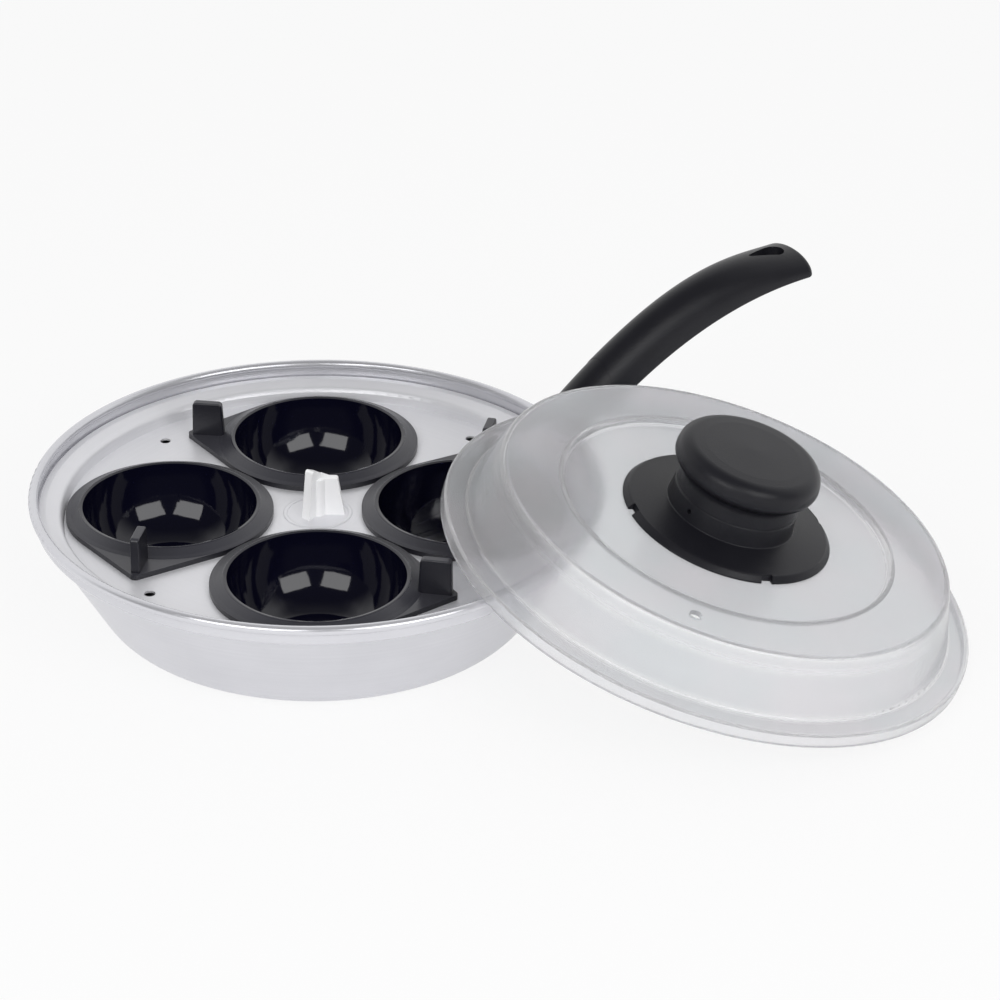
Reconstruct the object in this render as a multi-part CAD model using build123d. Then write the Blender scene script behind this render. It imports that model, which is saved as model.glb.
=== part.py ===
from build123d import *
import os
from math import atan, atan2, cos, degrees, radians, sin, sqrt

# Four-cup egg poacher pan with its lid leaning against the rim.
# Lengths are millimetres, angles are degrees. The origin is the centre of the pan's base on the
# table, +Z is up and +X runs along the handle.

# Egg cups
cup_count = 4
mouth_radius = 31.5
bowl_depth = 25.9
bowl_flat_radius = 14.0
bowl_wall = 1.6
lip_rise = 4.1
lip_crest_width = 1.1
lip_crest_rise = 0.3
lip_slope_width = 3.4
flange_width = 6.1
flange_thickness = 2.0
flange_gap = 0.56
first_cup_azimuth = -33.9
corner_turns = [75.5, 81.0, 78.0, 78.0]
corner_reach = 49.8
corner_radius = 2.0
fin_thickness = 3.3
fin_height = 15.2
fin_foot_setback = 1.7
fin_foot_width = 12.1
fin_top_width = 11.0
fin_corner_radius = 1.5
fin_edge_radius = 0.6

# Cup plate
plate_thickness = 0.8
flange_margin = 0.43
plate_step_run = 0.9
plate_band_width = 7.75
plate_seat_width = 2.25
plate_recess = 6.4
plate_band_fall = 1.6
plate_bend_radius = 1.0
cup_hole_play = 0.1
vent_radius = 2.0
vent_circle_radius = 82.0
bead_ring_radius = 11.8
bead_ring_rise = 0.4

# Pan
sheet = 1.3
water_space = 10.1
wall_lean = 22.1
base_corner_radius = 12.4
ledge_step = 2.46
collar_height = 6.6
collar_bend_radius = 1.5
bead_thickness = 3.4
bead_inset = 0.4

# Clearances
lift_clearance = 0.35
seat_gap = 0.05
cut_overrun = 6.0

# Lifter post
post_height = 19.2
post_hub_radius = 3.2
post_arm_thickness = 3.3
post_arm_reach = 9.8
post_corner_radius = 0.9
post_screw_radius = 1.4
post_screw_grip = 9.0
post_screw_head_radius = 3.0
post_screw_head_height = 1.9
post_washer_radius = 5.5
post_washer_thickness = 0.8

# Handle and its fixing
handle_reach = 121.5
handle_root_inset = 18.0
handle_root_height = 14.4
handle_rise = 61.6
handle_half_width = 13.7
handle_depth = 15.5
handle_edge_radius = 1.0
handle_end_radius = 2.4
ferrule_length = 25.0
ferrule_slimming = 0.15
ferrule_wall = 1.8
hang_hole_radius = 4.2
hang_hole_setback = 10.1
hang_hole_point = 12.5
hang_hole_point_radius = 0.8
saddle_thickness = 1.6
saddle_width = 38.0
saddle_bottom = 13.0
saddle_top = 33.0
tang_width = 11.0
tang_thickness = 4.0
tang_end_margin = 9.0
tang_play = 0.15
rivet_spacing = 27.0
rivet_height = 23.0
rivet_radius = 2.0
rivet_head_radius = 3.6
rivet_head_height = 1.3
handle_screw_setback = 6.5
handle_screw_radius = 1.9
handle_screw_head_radius = 3.4
handle_screw_head_height = 2.2
handle_screw_sink = 1.2

# Lid, measured along its own axis from the plane of its rim
lid_wall = 1.8
lid_play = 2.03
skirt_height = 5.0
skirt_corner_radius = 1.0
lid_flange_width = 8.37
lid_rise = 25.9
lid_wall_lean = 7.0
shoulder_radius = 2.5
panel_radius = 61.6
panel_drop = 2.6
panel_bend_radius = 1.2
steam_hole_radius = 2.25
steam_hole_place = 72.7
steam_hole_azimuth = -90.7
lid_tilt = 16.42
lid_azimuth = -48.05
lid_clearance = 0.7

# Knob and its skirt
knob_skirt_radius = 39.3
knob_skirt_edge = 2.6
knob_skirt_bevel = 2.4
knob_skirt_crown = 4.4
boss_radius = 23.4
boss_height = 7.2
boss_lean = 0.8
notch_width = 4.4
notch_depth = 3.0
notch_first_azimuth = 30.8
boss_hole_radius = 0.9
boss_hole_azimuth = -127.0
knob_foot_radius = 22.3
knob_neck_radius = 21.4
knob_neck_height = 6.2
knob_radius = 26.9
knob_swell_height = 9.5
knob_height = 18.4
knob_shoulder_inset = 1.2
knob_crown_rise = 0.9
knob_round = 5.0
knob_screw_radius = 2.0
knob_screw_grip = 10.0
knob_screw_head_radius = 4.0
knob_screw_head_height = 2.6
knob_washer_radius = 9.0
knob_washer_thickness = 1.0

# Shares of the sizes above: arm of the handle from its root to its tip, as run, rise,
# half width and depth
arm_shares = [
    (0.000, 0.000, 0.630, 0.645),
    (0.089, 0.097, 0.700, 0.800),
    (0.163, 0.224, 0.745, 0.900),
    (0.236, 0.351, 0.745, 0.935),
    (0.325, 0.489, 0.737, 0.961),
    (0.428, 0.627, 0.741, 0.987),
    (0.547, 0.760, 0.766, 1.000),
    (0.680, 0.873, 0.811, 0.965),
    (0.827, 0.956, 0.883, 0.815),
    (0.931, 0.989, 0.949, 0.650),
    (1.000, 1.000, 1.000, 0.560),
]

# The tang crosses the arm at two shares of its run, at a share of the arm's depth there
tang_run_shares = (0.163, 0.428)
tang_depth_share = 0.42

# Arms of the post: azimuth, then shares of the reach at the foot, of the reach at the top,
# of the height at the end and of the height at the middle
post_azimuths = [-164.0, -35.5, 19.5, 144.5]
post_arm_shares = [
    (0.71, 0.46, 1.00, 0.88),
    (1.00, 0.76, 0.76, 0.76),
    (0.61, 0.51, 0.74, 0.74),
    (0.51, 0.31, 0.74, 0.74),
]

# Heights of the pan and its plate, from the table up
floor_top = sheet
bowl_bottom = floor_top + water_space
bowl_floor = bowl_bottom + bowl_wall
mouth_height = bowl_floor + bowl_depth
plate_top = mouth_height - lip_rise
plate_bottom = plate_top - plate_thickness
plate_edge_top = plate_top + plate_recess
ledge_top = plate_edge_top - plate_thickness
ledge_bottom = ledge_top - sheet
rim_height = ledge_top + collar_height
bead_height = rim_height - bead_thickness / 2

# Radii of the cups, the plate and the pan, from the middle outwards
flange_radius = mouth_radius + flange_width
pitch_radius = (flange_radius + flange_gap / 2) / sin(radians(180 / cup_count))
recess_radius = pitch_radius + flange_radius + flange_margin
plate_radius = recess_radius + plate_step_run + plate_band_width
bead_inner_radius = plate_radius + lift_clearance
bead_radius = bead_inner_radius + bead_thickness / 2
rim_radius = bead_inner_radius + bead_thickness
collar_radius = bead_inner_radius + bead_inset + sheet
wall_top_radius = collar_radius - ledge_step
foot_radius = wall_top_radius - wall_lean

# Outside of the spun pan, from the middle of the base to the middle of the rolled rim
pan_points = [
    (0, 0),
    (foot_radius, 0),
    (wall_top_radius, ledge_bottom),
    (collar_radius, ledge_bottom),
    (collar_radius, bead_height),
]
pan_bend_radii = [base_corner_radius, sheet, collar_bend_radius]

# Lid: place of its rim centre, so that the rim stands on the table and leans on the pan's bead
lid_radius = bead_inner_radius - lid_play
lean_run = lid_radius - (rim_height + lid_clearance) / sin(radians(lid_tilt))
lean_half_chord = sqrt(lid_radius**2 - lean_run**2)
lid_distance = sqrt(bead_radius**2 - lean_half_chord**2) - lean_run * cos(radians(lid_tilt))
lid_centre_height = lid_radius * sin(radians(lid_tilt))
panel_top = lid_rise - panel_drop
panel_bottom = panel_top - lid_wall
boss_bottom = panel_top + knob_skirt_crown
boss_top = boss_bottom + boss_height
knob_top = boss_top + knob_height


def beside(points, distance):
    """The corners of the line that runs along a line of corners, at a distance to its left."""
    moved = []
    for place, (x, y) in enumerate(points):
        before = points[max(place - 1, 0)]
        after = points[min(place + 1, len(points) - 1)]
        way_in = Vector(x - before[0], y - before[1])
        way_out = Vector(after[0] - x, after[1] - y)
        way_in = (way_in if way_in.length else way_out).normalized()
        way_out = (way_out if way_out.length else way_in).normalized()
        left = Vector(-way_in.Y - way_out.Y, way_in.X + way_out.X)
        reach = distance / (1 + way_in.dot(way_out))
        moved.append((x + left.X * reach, y + left.Y * reach))
    return moved


def turns(points):
    """Plus one for each corner where a line turns left and minus one where it turns right."""
    signs = []
    for before, here, after in zip(points, points[1:], points[2:]):
        way_in = (here[0] - before[0], here[1] - before[1])
        way_out = (after[0] - here[0], after[1] - here[1])
        signs.append(1 if way_in[0] * way_out[1] > way_in[1] * way_out[0] else -1)
    return signs


def sheet_face(points, radii, thickness):
    """Section of bent sheet that lies to the left of a line with rounded corners."""
    inner_radii = [max(radius - turn * thickness, 0) for radius, turn in zip(radii, turns(points))]
    near = FilletPolyline(*points, radius=radii)
    far_points = beside(points, thickness)
    far = FilletPolyline(*far_points, radius=inner_radii)
    ends = Line(points[0], far_points[0]) + Line(points[-1], far_points[-1])
    return make_face(near.edges() + far.edges() + ends.edges())


def turned(face):
    """Solid of a section, drawn as radius and height, turned round the Z axis."""
    return revolve(Plane.XZ * face, axis=Axis.Z)


def rounded_face(points, radii):
    """Closed section with a radius at each corner."""
    return make_face(FilletPolyline(*points, radius=radii, close=True).edges())


def disc(radius, bottom, top):
    """Upright cylinder on the Z axis between two heights."""
    return Pos(0, 0, bottom) * Cylinder(
        radius, top - bottom, align=(Align.CENTER, Align.CENTER, Align.MIN)
    )


def polar(radius, azimuth, height=0):
    """Place at a radius and an azimuth."""
    return Pos(radius * cos(radians(azimuth)), radius * sin(radians(azimuth)), height)


def wall_radius(height):
    """Outside radius of the pan's flared wall at a height."""
    return foot_radius + wall_lean * height / ledge_bottom


def screw(shank_radius, length, head_radius, head_height):
    """Cross-head screw: the head is below the XY plane and the shank points up."""
    body = disc(head_radius, -head_height, 0) + disc(shank_radius, 0, length)
    body = chamfer(body.faces().sort_by(Axis.Z)[0].edges(), head_height / 3)
    slot = Box(head_radius, shank_radius / 3, head_height)
    slot = slot + Rot(0, 0, 90) * slot
    return body - Pos(0, 0, -head_height) * slot


def washer(radius, hole_radius, bottom, thickness):
    """Flat ring on the Z axis."""
    return disc(radius, bottom, bottom + thickness) - disc(hole_radius, bottom, bottom + thickness)


def cup_azimuths():
    """Where the cups stand round the pan."""
    return [first_cup_azimuth + 360 * place / cup_count for place in range(cup_count)]


def pan_space(gap):
    """The pan with its inside filled, grown by a gap: what the handle's pieces stay out of."""
    outline = pan_points[:-1] + [(collar_radius, bead_height - bead_thickness)]
    outline = outline + [(rim_radius, bead_height - bead_thickness / 2), (rim_radius, rim_height)]
    grown = beside(outline, -gap)
    corners = [(0, grown[0][1])] + grown[1:] + [(0, rim_height)]
    return turned(make_face(Polyline(*corners, close=True).edges()))


def pan_body():
    shell = turned(sheet_face(pan_points, pan_bend_radii, sheet))
    bead = turned(Pos(bead_radius, bead_height) * Circle(bead_thickness / 2))
    pan = shell + bead
    for side in (-1, 1):
        pan = pan - rivet_place(side) * disc(rivet_radius + seat_gap, -cut_overrun, cut_overrun)
    return pan


def rivet_place(side):
    """Place on the wall's outside whose Z axis points straight out of the wall."""
    azimuth = side * degrees(atan(rivet_spacing / 2 / wall_radius(rivet_height)))
    tilt = 90 + degrees(atan2(wall_lean, ledge_bottom))
    return Rot(0, 0, azimuth) * Pos(wall_radius(rivet_height), 0, rivet_height) * Rot(0, tilt, 0)


def handle_bracket():
    saddle = pan_space(seat_gap + saddle_thickness) & saddle_block()
    bracket = saddle + tang(0) - pan_space(seat_gap)
    for side in (-1, 1):
        hole = disc(rivet_radius + seat_gap, -cut_overrun, cut_overrun)
        bracket = bracket - rivet_place(side) * hole
    screw_hole = disc(handle_screw_radius + seat_gap, -tang_thickness, tang_thickness)
    return bracket - handle_screw_place() * screw_hole


def saddle_block():
    """Block that bounds the bracket's saddle."""
    middle = (saddle_bottom + saddle_top) / 2
    block = Box(foot_radius, saddle_width, saddle_top - saddle_bottom)
    block = fillet(block.edges().filter_by(Axis.X), (saddle_top - saddle_bottom) / 4)
    return Pos(wall_radius(middle), 0, middle) * block


def tang_line():
    """Start of the tang inside the pan's foot and the angle at which it climbs inside the arm."""
    middles = []
    for plane, shares in zip(arm_planes(), arm_shares):
        if shares[0] in tang_run_shares:
            up = plane.y_dir * (handle_depth * shares[3] * tang_depth_share)
            middles.append(plane.origin + up)
    first, last = middles
    slope = (last.Z - first.Z) / (last.X - first.X)
    return Vector(foot_radius, 0, first.Z + (foot_radius - first.X) * slope), atan(slope)


def tang_run(x):
    """Distance along the tang from its start to where it passes an X."""
    return (x - foot_radius) / cos(tang_line()[1])


def screw_run():
    """Distance along the tang to the handle's screw, which is just beyond the joint."""
    return tang_run(rim_radius + ferrule_length + handle_screw_setback)


def tang_place():
    """Start of the tang, with the X axis along the tang."""
    start, slope = tang_line()
    return Pos(start.X, start.Y, start.Z) * Rot(0, -degrees(slope), 0)


def tang(play):
    """Flat bar of the bracket, or the pocket for it where there is play."""
    bar = Box(
        screw_run() + tang_end_margin + play,
        tang_width + 2 * play,
        tang_thickness + 2 * play,
        align=(Align.MIN, Align.CENTER, Align.CENTER),
    )
    return tang_place() * bar


def bracket_rivet(side):
    """Rivet with a low head inside the pan and a formed head on the saddle."""
    shank_end = saddle_thickness + seat_gap
    inside = -sheet - 2 * seat_gap
    head = disc(rivet_head_radius, 0, rivet_head_height)
    head = fillet(head.faces().sort_by(Axis.Z)[-1].edges(), rivet_head_height * 2 / 3)
    rivet = disc(rivet_radius, inside, shank_end + seat_gap) + Pos(0, 0, shank_end + seat_gap) * head
    rivet = rivet + Pos(0, 0, inside) * Rot(180, 0, 0) * head
    return rivet_place(side) * rivet


def arm_section(half_width, depth):
    """D shape: flat underside, small rounded corners and an elliptical crown."""
    radius = handle_edge_radius
    flat = half_width - radius
    underside = Line((-flat, 0), (flat, 0))
    right = CenterArc((flat, radius), radius, 270, 90)
    left = CenterArc((-flat, radius), radius, 180, 90)
    crown = EllipticalCenterArc((0, radius), half_width, depth - radius, 0, arc_size=180)
    return make_face([underside.edge(), right.edge(), crown.edge(), left.edge()])


def arm_planes():
    """Planes square to the handle's arm, from its root to where its tip starts to round."""
    root = rim_radius - handle_root_inset
    run = handle_reach + handle_root_inset - handle_end_radius
    places = []
    for share in arm_shares:
        places.append(Vector(root + run * share[0], 0, handle_root_height + handle_rise * share[1]))
    underside = Spline(*places)
    return [Plane(origin=at, x_dir=(0, 1, 0), z_dir=underside.tangent_at(at)) for at in places]


def arm(inset):
    """The handle's arched arm from inside the pan's wall to its tip, slimmed by an inset."""
    sections = []
    for plane, share in zip(arm_planes(), arm_shares):
        half_width = handle_half_width * share[2] - inset
        depth = handle_depth * share[3] - 2 * inset
        section = arm_section(half_width, depth)
        sections.append(plane * Pos(0, inset) * section)
    return loft(sections)


def arm_tip():
    """End of the arm, rounded at the sides and the crown."""
    plane = arm_planes()[-1]
    depth = handle_depth * arm_shares[-1][3]
    sections = []
    for turn in range(0, 91, 15):
        inset = handle_end_radius * (1 - cos(radians(turn)))
        section = arm_section(handle_half_width - inset, depth - inset)
        sections.append(plane * Pos(0, 0, handle_end_radius * sin(radians(turn))) * section)
    return loft(sections, ruled=True)


def beyond_joint():
    """Everything beyond the upright joint between the ferrule and the handle."""
    size = handle_reach * 2
    block = Box(size, size, size, align=(Align.MIN, Align.CENTER, Align.CENTER))
    return Pos(rim_radius + ferrule_length, 0, 0) * block


def handle_ferrule():
    sleeve = arm(ferrule_slimming) - arm(ferrule_slimming + ferrule_wall)
    return sleeve - beyond_joint() - pan_space(seat_gap + saddle_thickness + lift_clearance)


def hang_hole():
    """Teardrop hole, round towards the tip and pointed towards the pan."""
    centre = rim_radius + handle_reach - hang_hole_setback
    round_end = Pos(centre, 0) * Circle(hang_hole_radius)
    point = Pos(centre - hang_hole_point + hang_hole_point_radius, 0) * Circle(hang_hole_point_radius)
    outline = make_hull(round_end.edges() + point.edges())
    return extrude(outline, handle_root_height + handle_rise + 2 * handle_depth)


def handle():
    grip = (arm(0) & beyond_joint()) + arm_tip()
    grip = grip - hang_hole() - tang(tang_play)
    shank = disc(handle_screw_radius + tang_play, -handle_depth, tang_thickness + tang_play)
    recess = disc(handle_screw_head_radius + tang_play, -handle_depth, -handle_screw_seat())
    return grip - handle_screw_place() * (shank + recess)


def handle_screw_place():
    """Middle of the tang where the screw crosses it, with Z square to the tang."""
    return tang_place() * Pos(screw_run(), 0, 0)


def handle_screw_seat():
    """Depth of the screw's seat below the middle of the tang."""
    return tang_thickness / 2 + handle_screw_sink


def handle_screw():
    body = screw(
        handle_screw_radius,
        handle_screw_seat() + tang_thickness,
        handle_screw_head_radius,
        handle_screw_head_height,
    )
    return handle_screw_place() * Pos(0, 0, -handle_screw_seat()) * body


def cup_plate():
    band_inner = recess_radius + plate_step_run
    points = [
        (0, plate_bottom),
        (recess_radius + plate_thickness, plate_bottom),
        (band_inner + plate_thickness, ledge_top - plate_band_fall),
        (plate_radius - plate_seat_width, ledge_top),
        (plate_radius, ledge_top),
    ]
    radii = [plate_bend_radius, plate_bend_radius + plate_thickness, plate_bend_radius]
    disc_body = turned(sheet_face(points, radii, plate_thickness))
    ring = turned(Pos(bead_ring_radius, plate_top) * Ellipse(2 * bead_ring_rise, bead_ring_rise))
    plate = disc_body + ring
    hole_radius = mouth_radius + bowl_wall + cup_hole_play
    for azimuth in cup_azimuths():
        plate = plate - polar(pitch_radius, azimuth) * disc(hole_radius, plate_bottom, mouth_height)
        vent = disc(vent_radius, plate_bottom - cut_overrun, plate_top + cut_overrun)
        plate = plate - polar(vent_circle_radius, azimuth + 180 / cup_count) * vent
    screw_hole = disc(post_screw_radius + tang_play, plate_bottom - cut_overrun, mouth_height)
    return plate - screw_hole


def bowl_face(flat, span, depth):
    """Half section of a bowl that is flat in the middle and rounds up to its mouth."""
    bottom = mouth_height - depth
    floor = Line((0, bottom), (flat, bottom))
    side = EllipticalCenterArc((flat, mouth_height), span, depth, 270, arc_size=90)
    top = Line((flat + span, mouth_height), (0, mouth_height))
    axis = Line((0, mouth_height), (0, bottom))
    return make_face([floor.edge(), side.edge(), top.edge(), axis.edge()])


def cup(corner_turn):
    """One egg cup round the Z axis, its corner and fin turned from the X axis."""
    span = mouth_radius - bowl_flat_radius
    outside = turned(bowl_face(bowl_flat_radius, span + bowl_wall, bowl_depth + bowl_wall))
    inside = turned(bowl_face(bowl_flat_radius, span, bowl_depth))
    crest = mouth_radius + lip_crest_width
    flange_top = plate_top + flange_thickness
    lip = [
        (mouth_radius, plate_top),
        (flange_radius, plate_top),
        (flange_radius, flange_top),
        (crest + lip_slope_width, flange_top + lip_crest_rise * 2),
        (crest, mouth_height + lip_crest_rise),
        (mouth_radius, mouth_height),
    ]
    lip_radii = [0, 0, lip_crest_rise * 2, lip_crest_rise, lip_crest_rise * 2, 0]
    body = outside + turned(rounded_face(lip, lip_radii))
    tip = Pos(corner_reach - corner_radius, 0) * Circle(corner_radius)
    flange = make_hull(Circle(flange_radius).edges() + tip.edges())
    body = body + Rot(0, 0, corner_turn) * Pos(0, 0, plate_top) * extrude(flange, flange_thickness)
    body = body + Rot(0, 0, corner_turn) * fin()
    headroom = disc(mouth_radius, mouth_height, mouth_height + cut_overrun)
    return body - inside - headroom


def fin():
    """Upright grip on the cup's corner, in the XZ plane."""
    outer = corner_reach - fin_foot_setback
    lean = (fin_foot_width - fin_top_width) / 2
    foot = plate_top + flange_thickness / 2
    top = plate_top + fin_height
    corners = [
        (outer - fin_foot_width, foot),
        (outer, foot),
        (outer - lean / 2, top),
        (outer - lean / 2 - fin_top_width, top),
    ]
    outline = rounded_face(corners, [0, 0, fin_corner_radius, fin_corner_radius])
    blade = extrude(Plane.XZ * outline, fin_thickness / 2, both=True)
    return fillet(blade.edges().filter_by_position(Axis.Z, top - fin_corner_radius, top), fin_edge_radius)


def lifter_post():
    post = disc(post_hub_radius, 0, post_height * post_arm_shares[1][2])
    for azimuth, shares in zip(post_azimuths, post_arm_shares):
        corners = [
            (0, 0),
            (post_arm_reach * shares[0], 0),
            (post_arm_reach * shares[1], post_height * shares[2]),
            (0, post_height * shares[3]),
        ]
        blade = rounded_face(corners, [0, 0, post_corner_radius, 0])
        post = post + Rot(0, 0, azimuth) * extrude(Plane.XZ * blade, post_arm_thickness / 2, both=True)
    thread = disc(post_screw_radius + seat_gap, 0, post_screw_grip + tang_play)
    return Pos(0, 0, plate_top) * (post - thread)


def post_washer():
    bottom = plate_bottom - post_washer_thickness
    return washer(post_washer_radius, post_screw_radius + tang_play, bottom, post_washer_thickness)


def post_screw():
    length = post_washer_thickness + plate_thickness + post_screw_grip
    body = screw(post_screw_radius, length, post_screw_head_radius, post_screw_head_height)
    return Pos(0, 0, plate_bottom - post_washer_thickness) * body


def lid_place():
    """The lid's own frame: origin at its rim's centre, X down the slope, Z out of its top."""
    azimuth = radians(lid_azimuth)
    tilt = radians(lid_tilt)
    return Plane(
        origin=(lid_distance * cos(azimuth), lid_distance * sin(azimuth), lid_centre_height),
        x_dir=(cos(azimuth) * cos(tilt), sin(azimuth) * cos(tilt), -sin(tilt)),
        z_dir=(sin(tilt) * cos(azimuth), sin(tilt) * sin(azimuth), cos(tilt)),
    )


def lid():
    flange_inner = lid_radius - lid_flange_width
    points = [
        (lid_radius, 0),
        (lid_radius, skirt_height),
        (flange_inner, skirt_height),
        (flange_inner - lid_wall_lean, lid_rise),
        (panel_radius, lid_rise),
        (panel_radius - panel_bend_radius, panel_top),
        (0, panel_top),
    ]
    radii = [
        skirt_corner_radius,
        skirt_corner_radius,
        shoulder_radius,
        panel_bend_radius,
        panel_bend_radius,
    ]
    shell = turned(sheet_face(points, radii, lid_wall))
    steam_hole = polar(steam_hole_place, steam_hole_azimuth)
    steam_hole = steam_hole * disc(steam_hole_radius, skirt_height, lid_rise)
    screw_hole = disc(knob_screw_radius + tang_play, skirt_height, lid_rise)
    return shell - steam_hole - screw_hole


def knob_skirt():
    foot_top = panel_top + knob_skirt_edge
    top_radius = knob_skirt_radius - knob_skirt_bevel
    outline = [
        (0, panel_top),
        (knob_skirt_radius, panel_top),
        (top_radius, foot_top),
        (boss_radius, boss_bottom),
        (boss_radius - boss_lean, boss_top),
        (0, boss_top),
    ]
    radii = [0, knob_skirt_edge / 5, knob_skirt_edge / 2, knob_skirt_edge / 5, boss_lean, 0]
    body = turned(rounded_face(outline, radii))
    hollow_top = boss_top - 2 * lid_wall
    hollow = disc(boss_radius - 2 * lid_wall, panel_top, hollow_top)
    hollow = hollow - disc(knob_washer_radius, panel_top, hollow_top)
    body = body - hollow - disc(knob_screw_radius + tang_play, panel_top, boss_top)
    for quarter in range(4):
        notch = Box(2 * notch_depth, notch_width, 2 * knob_skirt_edge)
        place = polar(knob_skirt_radius, notch_first_azimuth + 90 * quarter, panel_top + knob_skirt_edge)
        body = body - place * Rot(0, 0, notch_first_azimuth + 90 * quarter) * notch
    drill = Cylinder(boss_hole_radius, 2 * lid_wall, rotation=(0, 90, 0))
    side = Rot(0, 0, boss_hole_azimuth) * Pos(boss_radius - boss_lean / 2, 0, boss_bottom + boss_height / 2)
    return body - side * drill


def knob():
    widest = boss_top + knob_swell_height
    crown_edge = knob_top - knob_crown_rise
    corner = (knob_radius - knob_shoulder_inset, crown_edge)
    crown_start = (knob_radius * 2 / 3, knob_top - knob_crown_rise * 4 / 9)
    outline = FilletPolyline(
        (knob_foot_radius, boss_top),
        (knob_neck_radius, boss_top + knob_neck_height),
        (knob_radius, widest),
        corner,
        crown_start,
        radius=[knob_round * 2 / 3, knob_round * 4 / 5, knob_round],
    )
    crown = Line(crown_start, (0, knob_top))
    closing = Line((0, knob_top), (0, boss_top)) + Line((0, boss_top), (knob_foot_radius, boss_top))
    body = turned(make_face(outline.edges() + crown.edges() + closing.edges()))
    thread = disc(knob_screw_radius + seat_gap, boss_top, boss_top + knob_screw_grip + tang_play)
    return body - thread


def knob_washer():
    bottom = panel_bottom - knob_washer_thickness
    return washer(knob_washer_radius, knob_screw_radius + tang_play, bottom, knob_washer_thickness)


def knob_screw():
    length = knob_washer_thickness + lid_wall + boss_top - panel_top + knob_screw_grip
    body = screw(knob_screw_radius, length, knob_screw_head_radius, knob_screw_head_height)
    return Pos(0, 0, panel_bottom - knob_washer_thickness) * body


def egg_poacher():
    """Every piece by its name, where it lies in the photograph."""
    pieces = {
        "pan_body": pan_body(),
        "handle_bracket": handle_bracket(),
        "bracket_rivet_1": bracket_rivet(-1),
        "bracket_rivet_2": bracket_rivet(1),
        "handle_ferrule": handle_ferrule(),
        "handle": handle(),
        "handle_screw": handle_screw(),
        "cup_plate": cup_plate(),
        "lifter_post": lifter_post(),
        "post_washer": post_washer(),
        "post_screw": post_screw(),
    }
    for number, (azimuth, corner_turn) in enumerate(zip(cup_azimuths(), corner_turns), start=1):
        place = polar(pitch_radius, azimuth) * Rot(0, 0, azimuth)
        pieces[f"egg_cup_{number}"] = place * cup(corner_turn)
    for name, piece in {
        "lid": lid(),
        "knob_skirt": knob_skirt(),
        "knob": knob(),
        "knob_washer": knob_washer(),
        "knob_screw": knob_screw(),
    }.items():
        pieces[name] = lid_place() * piece
    return pieces


os.makedirs("parts", exist_ok=True)
for name, piece in egg_poacher().items():
    export_step(piece, f"parts/{name}.step")
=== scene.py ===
from math import cos, radians, sin

import bmesh
import bpy
from mathutils import Matrix, Vector


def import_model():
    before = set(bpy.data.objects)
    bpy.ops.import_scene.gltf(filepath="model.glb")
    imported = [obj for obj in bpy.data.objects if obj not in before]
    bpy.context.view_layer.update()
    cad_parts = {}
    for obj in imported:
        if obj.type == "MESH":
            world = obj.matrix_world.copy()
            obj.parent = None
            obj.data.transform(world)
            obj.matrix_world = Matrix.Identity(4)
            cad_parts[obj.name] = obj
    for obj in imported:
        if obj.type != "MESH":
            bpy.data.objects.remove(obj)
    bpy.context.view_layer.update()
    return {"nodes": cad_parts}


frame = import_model()
nodes = frame["nodes"]

# Camera, fitted to the circles of the pan, cups and lid in the photograph
camera_azimuth = radians(-37.0)
camera_elevation = radians(28.267)
camera_roll = radians(0.972)
camera_place = Vector((-0.5569, -0.8492, 0.5861))
camera_lens = 114.0
sensor_width = 36.0
nearest_seen = 0.05
farthest_seen = 50.0

# Cups, from the CAD model: the circle that they stand on, and where the bowl ends and the lip starts
cup_count = 4
cup_circle_radius = 0.05357
first_cup_azimuth = -33.9
bowl_end = 0.0322
lip_start = 0.0334

# Pan's collar, from the CAD model: it is polished above this height
collar_height = 0.0388
collar_fade = 0.001
polished_roughness = 0.24

# Aluminium: how far its rings wander, the clouds' share of its shade, and the shades at which it
# has its two greys
ring_wander = 0.002
cloud_share = 0.6
grey_shades = (0.3, 0.7)

# Cups: upward parts of a surface's direction at which their painted sheen starts and is full
painted_sheen_slopes = (0.35, 0.80)

# Steel: how much finer its brushing is along each axis
brushing = (1.0, 8.0, 1.0)

# Lid, from the CAD model: its rim's centre, the way it slopes, its tilt, and its corners, along
# which bright lines are painted as painted highlights
lid_azimuth = radians(-48.05)
lid_tilt = radians(16.42)
lid_reach = 0.142635
lid_height = 0.027864
lid_origin = Vector((lid_reach * cos(lid_azimuth), lid_reach * sin(lid_azimuth), lid_height))
lid_corner_radii = (0.0612, 0.0832, 0.0903, 0.0982)
lid_corner_half_width = 0.0011
# How white the lid's corners are painted, as a painted highlight
lid_corner_painted_highlight = 0.9

# Lid's clouds: the values at which it has its two greys
milky_clouds = (0.35, 0.65)

# Softboxes, found from their reflections in the cups, with azimuths from the camera's own
lamp_centre = Vector((0.02, 0.0, 0.03))
lamp_distance = 1.5
lamp_elevation = radians(31.0)
lamp_azimuths = {"softbox_right": radians(36.0), "softbox_left": radians(-25.0)}
lamp_width = 0.98
lamp_height = 0.64
lamp_watts = 7.0

# Studio's brightness: low all round, high on the backdrop, high in the room, on matt surfaces
# and straight into the camera
low_light = 0.97
backdrop_light = 0.20
room_light = 0.06
matt_light = 0.60
camera_light = 0.955

# Where that brightness fades, as parts of a direction: upwards on the backdrop, upwards in the
# room and from the room to the backdrop
backdrop_fade = (0.74, 0.94)
room_fade = (0.02, 0.24)
side_fade = (-0.30, 0.30)

# Floor, and how far its own glow hides its shadow from the camera
floor_radius = 6.0
floor_sides = 96
floor_glow = 0.87

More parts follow.
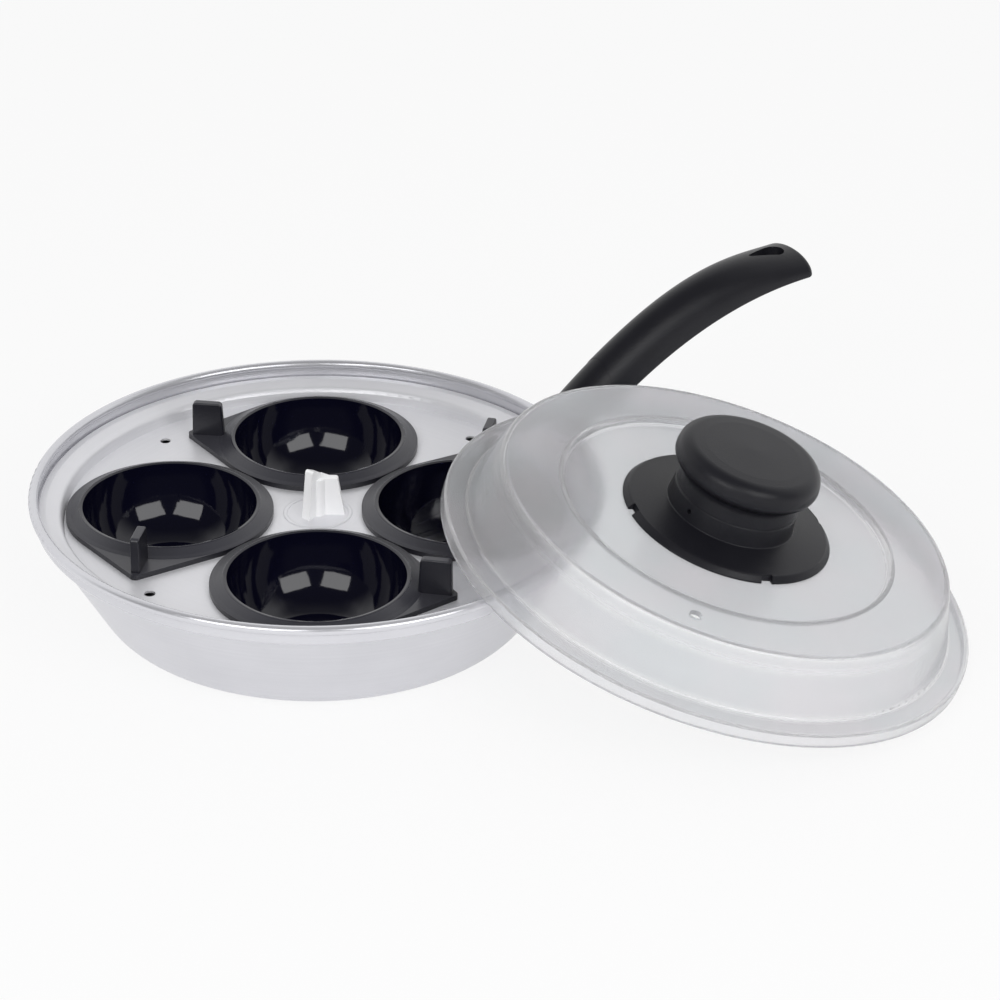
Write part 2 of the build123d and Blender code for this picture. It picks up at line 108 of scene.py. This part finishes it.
# Colours; a pair goes from darker to paler
white = (1.0, 1.0, 1.0, 1.0)
glow_white = (0.985, 0.985, 0.985, 1.0)
floor_white = (0.93, 0.93, 0.935, 1.0)
spun_greys = ((0.63, 0.63, 0.665), (0.70, 0.70, 0.735))
rolled_greys = ((0.75, 0.75, 0.78), (0.82, 0.82, 0.85))
phenolic_blacks = ((0.008, 0.008, 0.011), (0.013, 0.013, 0.017))
bowl_black = (0.003, 0.003, 0.010)
flange_black = (0.008, 0.008, 0.013)
# Blacks of the painted sheen on the cups' upward faces
painted_sheen_blacks = ((0.028, 0.028, 0.036), (0.040, 0.040, 0.050))
steel_greys = ((0.50, 0.50, 0.52), (0.66, 0.66, 0.68))
post_whites = ((0.91, 0.91, 0.93), (0.96, 0.96, 0.97))
milky_greys = ((0.77, 0.79, 0.81), (0.81, 0.80, 0.825))
# White of the painted highlights on the lid's corners
painted_highlight_white = (0.99, 0.99, 1.0)


def put(tree, kind, inputs=(), **settings):
    """A new shader node with its settings, its inputs set to values or linked to sockets."""
    made = tree.nodes.new(kind)
    for name, value in settings.items():
        setattr(made, name, value)
    for name, value in dict(inputs).items():
        if isinstance(value, bpy.types.NodeSocket):
            tree.links.new(value, made.inputs[name])
        else:
            made.inputs[name].default_value = value
    return made


def feed(tree, shader, **sockets):
    """Links values to a shader's inputs, an underscore in a name standing for a space."""
    for name, value in sockets.items():
        tree.links.new(value, shader.inputs[name.replace("_", " ")])


def maths(tree, operation, first, second=0.0, third=0.0, clamp=False):
    """The output of a Math node."""
    inputs = {0: first, 1: second, 2: third}
    return put(tree, "ShaderNodeMath", inputs, operation=operation, use_clamp=clamp).outputs[0]


def vary(tree, factor, base, amount):
    """A base value, plus an amount times a factor."""
    return maths(tree, "MULTIPLY_ADD", factor, amount, base)


def spread(tree, value, low, high, to_low=0.0, to_high=1.0, smooth=False):
    """A value mapped from one range to another."""
    inputs = {"Value": value, "From Min": low, "From Max": high, "To Min": to_low, "To Max": to_high}
    kind = "SMOOTHSTEP" if smooth else "LINEAR"
    return put(tree, "ShaderNodeMapRange", inputs, interpolation_type=kind).outputs["Result"]


def blend(tree, factor, first, second):
    """A value mixed between two values."""
    inputs = {"Factor": factor, "A": first, "B": second}
    return put(tree, "ShaderNodeMix", inputs, data_type="FLOAT").outputs[0]


def tint(tree, factor, first, second):
    """A colour mixed between two colours."""
    mix = put(tree, "ShaderNodeMix", {"Factor": factor}, data_type="RGBA")
    # The colour sockets share their names with others of the node, so they go by number
    for socket, colour in zip((mix.inputs[6], mix.inputs[7]), (first, second)):
        if isinstance(colour, bpy.types.NodeSocket):
            tree.links.new(colour, socket)
        else:
            socket.default_value = (*colour, 1.0)
    return mix.outputs[2]


def noise(tree, vector, scale, detail=2.0, roughness=0.5):
    """The factor of a noise texture, in features per metre."""
    inputs = {"Vector": vector, "Scale": scale, "Detail": detail, "Roughness": roughness}
    return put(tree, "ShaderNodeTexNoise", inputs).outputs[0]


def upward(tree, vector):
    """The Z part of a vector."""
    return put(tree, "ShaderNodeSeparateXYZ", {"Vector": vector}).outputs["Z"]


def material(name, **values):
    """A new material with its node tree, its Principled shader and the point on the object."""
    made = bpy.data.materials.new(name)
    made.use_nodes = True
    tree = made.node_tree
    shader = tree.nodes["Principled BSDF"]
    for socket, value in values.items():
        shader.inputs[socket.replace("_", " ")].default_value = value
    point = put(tree, "ShaderNodeTexCoord").outputs["Object"]
    return made, tree, shader, point


def bump(tree, shader, height, distance):
    """Small relief on a surface, its height from 0 to 1 times a distance in metres."""
    relief = put(tree, "ShaderNodeBump", {"Height": height, "Distance": distance, "Strength": 1.0})
    feed(tree, shader, Normal=relief.outputs["Normal"])


def radius_of(tree, point, centre=(0.0, 0.0)):
    """Distance of a point from an upright axis."""
    parts = put(tree, "ShaderNodeSeparateXYZ", {"Vector": point})
    x = maths(tree, "SUBTRACT", parts.outputs["X"], centre[0])
    y = maths(tree, "SUBTRACT", parts.outputs["Y"], centre[1])
    total = maths(tree, "ADD", maths(tree, "MULTIPLY", x, x), maths(tree, "MULTIPLY", y, y))
    return maths(tree, "SQRT", total)


def rings(tree, point, scale):
    """Noise that runs in slightly uneven rings round the Z axis, as a lathe leaves it."""
    uneven = maths(tree, "MULTIPLY", noise(tree, point, scale=25.0, detail=1.0), ring_wander)
    across = {"X": radius_of(tree, point), "Y": upward(tree, point), "Z": uneven}
    turned = put(tree, "ShaderNodeCombineXYZ", across).outputs[0]
    return noise(tree, turned, scale, detail=3.0, roughness=0.6)


def aluminium(name, greys, metallic, smoothest, ring_scale, ring_depth, anisotropy, polished=False):
    """Spun or rolled aluminium with fine rings, cloudy patches and small pits."""
    made, tree, shader, point = material(
        name, Metallic=metallic, Anisotropic=anisotropy, Anisotropic_Rotation=0.25
    )
    lines = rings(tree, point, ring_scale)
    clouds = noise(tree, point, scale=38.0, detail=3.0)
    pits = noise(tree, point, scale=900.0, roughness=0.7)
    ring_part = maths(tree, "MULTIPLY", lines, 1.0 - cloud_share)
    shade = vary(tree, clouds, base=ring_part, amount=cloud_share)
    colour = tint(tree, spread(tree, shade, *grey_shades), *greys)
    rough = vary(tree, clouds, base=smoothest, amount=0.1)
    rough = vary(tree, lines, base=rough, amount=0.08)
    if polished:
        above = spread(tree, upward(tree, point), collar_height, collar_height + collar_fade)
        rough = blend(tree, above, rough, polished_roughness)
    tangent = put(tree, "ShaderNodeTangent", direction_type="RADIAL", axis="Z").outputs["Tangent"]
    feed(tree, shader, Base_Color=colour, Roughness=rough, Tangent=tangent)
    bump(tree, shader, vary(tree, pits, base=lines, amount=0.25), distance=ring_depth)
    return made


def phenolic(name):
    """Black moulded plastic with a fine spark-eroded grain."""
    made, tree, shader, point = material(name, IOR=1.5, Specular_IOR_Level=0.26)
    clouds = noise(tree, point, scale=60.0, detail=3.0)
    grain = noise(tree, point, scale=1900.0, roughness=0.6)
    colour = tint(tree, clouds, *phenolic_blacks)
    rough = vary(tree, clouds, base=0.32, amount=0.08)
    feed(tree, shader, Base_Color=colour, Roughness=rough)
    bump(tree, shader, grain, distance=0.00006)
    return made


def cup_plastic(name, centre):
    """Black cup, glossy in its bowl and satin on its lip, flange and fin."""
    made, tree, shader, point = material(name, IOR=1.5)
    outside = spread(tree, radius_of(tree, point, centre), bowl_end, lip_start, smooth=True)
    clouds = noise(tree, point, scale=70.0, detail=3.0)
    bowl_rough = vary(tree, clouds, base=0.055, amount=0.03)
    flange_rough = vary(tree, clouds, base=0.29, amount=0.08)
    # Surfaces that face upwards are painted paler, a painted sheen for the light that they catch
    normal = put(tree, "ShaderNodeNewGeometry").outputs["Normal"]
    painted_sheen = spread(tree, upward(tree, normal), *painted_sheen_slopes)
    flange = tint(tree, painted_sheen, flange_black, tint(tree, clouds, *painted_sheen_blacks))
    colour = tint(tree, outside, bowl_black, flange)
    feed(tree, shader, Base_Color=colour, Roughness=blend(tree, outside, bowl_rough, flange_rough))
    peel = noise(tree, point, scale=160.0, detail=1.0)
    grain = noise(tree, point, scale=2200.0)
    bump(tree, shader, blend(tree, outside, peel, grain), distance=0.00004)
    return made


def steel(name, roughness):
    """Plated steel with fine brushing."""
    made, tree, shader, point = material(name, Metallic=1.0)
    squeezed = put(tree, "ShaderNodeMapping", {"Vector": point, "Scale": brushing})
    lines = noise(tree, squeezed.outputs[0], scale=700.0, detail=3.0, roughness=0.6)
    colour = tint(tree, lines, *steel_greys)
    rough = vary(tree, lines, base=roughness, amount=0.12)
    feed(tree, shader, Base_Color=colour, Roughness=rough)
    bump(tree, shader, lines, distance=0.00003)
    return made


def white_plastic(name):
    """White moulded plastic that light enters a little."""
    made, tree, shader, point = material(
        name, IOR=1.49, Subsurface_Weight=0.25, Subsurface_Radius=(0.004, 0.004, 0.004)
    )
    clouds = noise(tree, point, scale=220.0)
    colour = tint(tree, clouds, *post_whites)
    rough = vary(tree, clouds, base=0.30, amount=0.12)
    feed(tree, shader, Base_Color=colour, Roughness=rough)
    bump(tree, shader, clouds, distance=0.00005)
    return made


def lid_axes():
    """The lid's own X, Y and Z directions: X down its slope and Z out of its top."""
    turn, tilt = lid_azimuth, lid_tilt
    slope = Vector((cos(turn) * cos(tilt), sin(turn) * cos(tilt), -sin(tilt)))
    out = Vector((cos(turn) * sin(tilt), sin(turn) * sin(tilt), cos(tilt)))
    return slope, out.cross(slope), out


def lid_point(tree, point):
    """A point in the lid's own frame, whose origin is the centre of its rim."""
    turn = Matrix(lid_axes())
    inputs = {"Vector": point, "Location": -(turn @ lid_origin), "Rotation": turn.to_euler("XYZ")}
    return put(tree, "ShaderNodeMapping", inputs, vector_type="POINT").outputs[0]


def band(tree, value, middle, half_width):
    """One at a value, falling to zero at a half width from it."""
    away = maths(tree, "ABSOLUTE", maths(tree, "SUBTRACT", value, middle))
    return spread(tree, away, 0.0, half_width, 1.0, 0.0, smooth=True)


def milky(name):
    """Translucent polypropylene with soft flow marks, and painted highlights along its corners for
    light that gathers in the plastic there.
    """
    made, tree, shader, point = material(name, IOR=1.36, Transmission_Weight=0.74)
    radius = radius_of(tree, lid_point(tree, point))
    clouds = noise(tree, point, scale=28.0, detail=3.0)
    fine = noise(tree, point, scale=420.0)
    # Painted highlights: white bands at the corners' radii, for light that gathers in the plastic
    # there
    painted_corner_highlight = 0.0
    for middle in lid_corner_radii:
        painted_corner_highlight = maths(tree, "MAXIMUM", painted_corner_highlight, band(tree, radius, middle, lid_corner_half_width))
    thin = tint(tree, spread(tree, clouds, *milky_clouds), *milky_greys)
    highlight_strength = maths(tree, "MULTIPLY", painted_corner_highlight, lid_corner_painted_highlight)
    colour = tint(tree, highlight_strength, thin, painted_highlight_white)
    rough = vary(tree, clouds, base=0.20, amount=0.04)
    feed(tree, shader, Base_Color=colour, Roughness=rough)
    bump(tree, shader, fine, distance=0.00003)
    return made


def cup_centre(number):
    """Middle of a cup's mouth, seen from above."""
    azimuth = radians(first_cup_azimuth + 360.0 / cup_count * (number - 1))
    return cup_circle_radius * cos(azimuth), cup_circle_radius * sin(azimuth)


def dress(look, *names):
    """Gives CAD nodes their material."""
    for name in names:
        mesh = nodes[name].data
        mesh.materials.clear()
        mesh.materials.append(look)


def dress_all():
    """Gives every CAD node its material."""
    spun = aluminium(
        "spun_aluminium",
        spun_greys,
        metallic=0.6,
        smoothest=0.26,
        ring_scale=900.0,
        ring_depth=0.00005,
        anisotropy=0.4,
        polished=True,
    )
    rolled = aluminium(
        "plate_aluminium",
        rolled_greys,
        metallic=0.45,
        smoothest=0.34,
        ring_scale=1200.0,
        ring_depth=0.00002,
        anisotropy=0.25,
    )
    plated = steel("screw_steel", roughness=0.28)
    dress(spun, "pan_body", "bracket_rivet_1", "bracket_rivet_2")
    dress(rolled, "cup_plate")
    dress(steel("bracket_steel", roughness=0.3), "handle_bracket")
    dress(plated, "handle_screw", "post_washer", "post_screw", "knob_washer", "knob_screw")
    dress(phenolic("black_phenolic"), "handle_ferrule", "handle", "knob_skirt", "knob")
    dress(white_plastic("white_plastic"), "lifter_post")
    for number in range(1, cup_count + 1):
        dress(cup_plastic(f"cup_plastic_{number}", cup_centre(number)), f"egg_cup_{number}")
    dress(milky("milky_plastic"), "lid")


def place(name, data):
    """A new object in the scene."""
    made = bpy.data.objects.new(name, data)
    bpy.context.scene.collection.objects.link(made)
    return made


def outward(azimuth, elevation):
    """Direction out from the pan, whose azimuth is counted from -Y towards +X."""
    level = cos(elevation)
    return Vector((sin(azimuth) * level, -cos(azimuth) * level, sin(elevation)))


def floor():
    """Pale floor that keeps some of the object's shadow."""
    mesh = bpy.data.meshes.new("floor")
    form = bmesh.new()
    bmesh.ops.create_circle(form, cap_ends=True, radius=floor_radius, segments=floor_sides)
    form.to_mesh(mesh)
    form.free()
    made = place("floor", mesh)
    look, tree, shader = material("floor", Base_Color=floor_white, Roughness=0.6)[:3]
    path = put(tree, "ShaderNodeLightPath")
    seen = maths(tree, "ADD", path.outputs["Is Camera Ray"], path.outputs["Is Glossy Ray"])
    seen = maths(tree, "ADD", seen, path.outputs["Is Transmission Ray"], clamp=True)
    glow = put(tree, "ShaderNodeEmission", {"Color": glow_white, "Strength": 1.0})
    parts = {0: maths(tree, "MULTIPLY", seen, floor_glow), 1: shader.outputs[0], 2: glow.outputs[0]}
    mixed = put(tree, "ShaderNodeMixShader", parts)
    feed(tree, tree.nodes["Material Output"], Surface=mixed.outputs[0])
    mesh.materials.append(look)


def world():
    """White studio: a tall backdrop behind the object, and a dark room overhead and in front."""
    made = bpy.data.worlds.new("studio")
    made.use_nodes = True
    bpy.context.scene.world = made
    tree = made.node_tree
    path = put(tree, "ShaderNodeLightPath")
    direction = put(tree, "ShaderNodeTexCoord").outputs["Generated"]
    views = {0: direction, 1: -outward(camera_azimuth, 0.0)}
    along = put(tree, "ShaderNodeVectorMath", views, operation="DOT_PRODUCT").outputs["Value"]
    up = upward(tree, direction)
    backdrop = spread(tree, up, *backdrop_fade, low_light, backdrop_light, smooth=True)
    room = spread(tree, up, *room_fade, low_light, room_light, smooth=True)
    around = blend(tree, spread(tree, along, *side_fade, smooth=True), room, backdrop)
    mirrored = path.outputs["Is Glossy Ray"]
    mirrored = maths(tree, "ADD", mirrored, path.outputs["Is Transmission Ray"], clamp=True)
    lit = blend(tree, mirrored, matt_light, around)
    background = tree.nodes["Background"]
    background.inputs["Color"].default_value = white
    feed(tree, background, Strength=blend(tree, path.outputs["Is Camera Ray"], lit, camera_light))


def camera_axes():
    """The camera's right, up and back directions."""
    back = outward(camera_azimuth, camera_elevation)
    right = Vector((cos(camera_azimuth), sin(camera_azimuth), 0.0))
    up = back.cross(right)
    turned_right = cos(camera_roll) * right + sin(camera_roll) * up
    return turned_right, cos(camera_roll) * up - sin(camera_roll) * right, back


def camera():
    """Camera that sees the object as the photograph does."""
    data = bpy.data.cameras.new("camera")
    data.lens = camera_lens
    data.sensor_width = sensor_width
    data.clip_start = nearest_seen
    data.clip_end = farthest_seen
    made = place("camera", data)
    turn = Matrix(camera_axes()).transposed().to_4x4()
    made.matrix_world = Matrix.Translation(camera_place) @ turn
    bpy.context.scene.camera = made


def softbox(name, azimuth):
    """Rectangular lamp that faces the object."""
    data = bpy.data.lights.new(name, "AREA")
    data.shape = "RECTANGLE"
    data.size = lamp_width
    data.size_y = lamp_height
    data.energy = lamp_watts
    made = place(name, data)
    away = outward(camera_azimuth + azimuth, lamp_elevation)
    made.location = lamp_centre + away * lamp_distance
    made.rotation_mode = "QUATERNION"
    made.rotation_quaternion = (-away).to_track_quat("-Z", "Y")


dress_all()
floor()
world()
camera()
for name, azimuth in lamp_azimuths.items():
    softbox(name, azimuth)
bpy.context.scene.view_settings.view_transform = "Standard"
